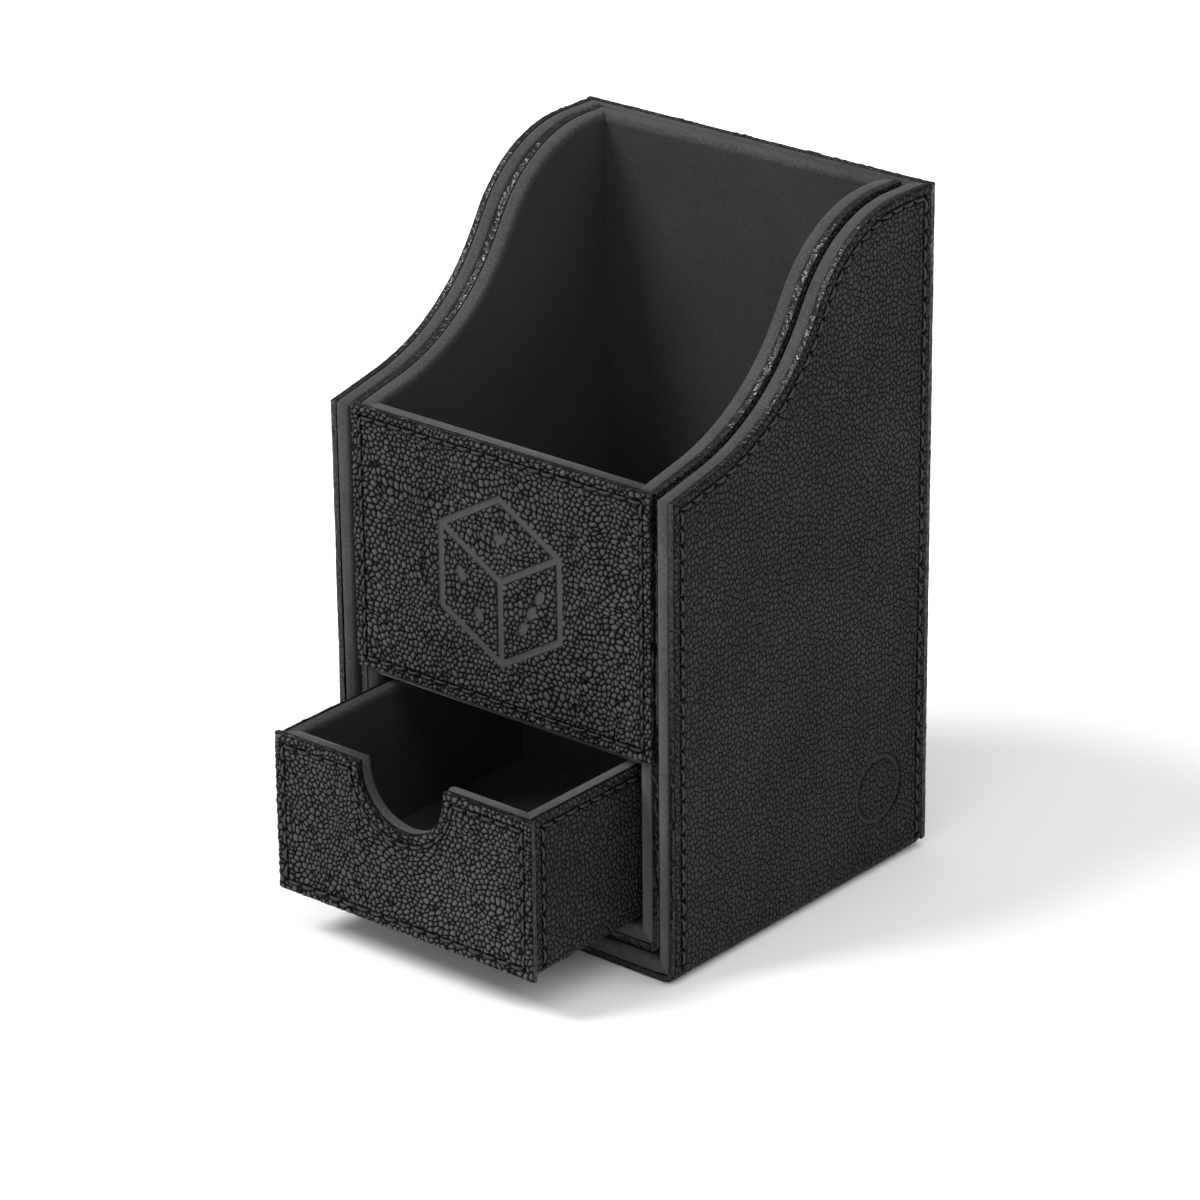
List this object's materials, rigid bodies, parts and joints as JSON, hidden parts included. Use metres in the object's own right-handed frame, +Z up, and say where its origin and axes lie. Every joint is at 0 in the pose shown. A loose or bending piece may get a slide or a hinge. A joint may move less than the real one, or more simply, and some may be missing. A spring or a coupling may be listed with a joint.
{
  "type": "deck box with dice drawer",
  "caption": "Upright leather-covered box for card decks with a swept open top and a pull-out dice drawer with a finger notch.",
  "frame": {"origin": "centre of the outer shell's footprint on the surface it stands on", "axes": "+Z up, +Y towards the tall back wall, +X to the right seen from the drawer's side"},
  "size_m": [0.092, 0.1171, 0.1504],
  "materials": {
    "leather": "pebble-grained black leather, satin",
    "suede": "charcoal suede, matt",
    "board": "black bookbinder's board",
    "thread": "black waxed thread"
  },
  "bodies": {
    "case": {"front_panel_board": "board", "front_panel_cover": "leather", "front_panel_lining": "suede", "front_panel_stitching": "thread", "inner_back_board": "board", "inner_back_lining": "suede", "inner_base_board": "board", "inner_base_lining": "suede", "inner_leather_wrap": "leather", "inner_left_board": "board", "inner_left_lining": "suede", "inner_right_board": "board", "inner_right_lining": "suede", "outer_back_board": "board", "outer_back_cover": "leather", "outer_back_lining": "suede", "outer_back_stitching": "thread", "outer_base_board": "board", "outer_base_lining": "suede", "outer_leather_wrap": "leather", "outer_left_board": "board", "outer_left_lining": "suede", "outer_left_stitching": "thread", "outer_right_board": "board", "outer_right_lining": "suede", "outer_right_stitching": "thread", "shelf_board": "board", "shelf_bottom_lining": "suede", "shelf_top_lining": "suede"},
    "drawer": {"drawer_back_board": "board", "drawer_back_cover": "leather", "drawer_back_lining": "suede", "drawer_bottom_board": "board", "drawer_floor_lining": "suede", "drawer_front_board": "board", "drawer_front_cover": "leather", "drawer_front_lining": "suede", "drawer_front_stitching": "thread", "drawer_leather_wrap": "leather", "drawer_left_board": "board", "drawer_left_lining": "suede", "drawer_left_stitching": "thread", "drawer_right_board": "board", "drawer_right_lining": "suede", "drawer_right_stitching": "thread"}
  },
  "joints": [
    {"name": "drawer_slide", "type": "slide", "parent": "case", "child": "drawer", "axis": [0, -1, 0], "range_m": [-0.0315, 0.03]}
  ]
}
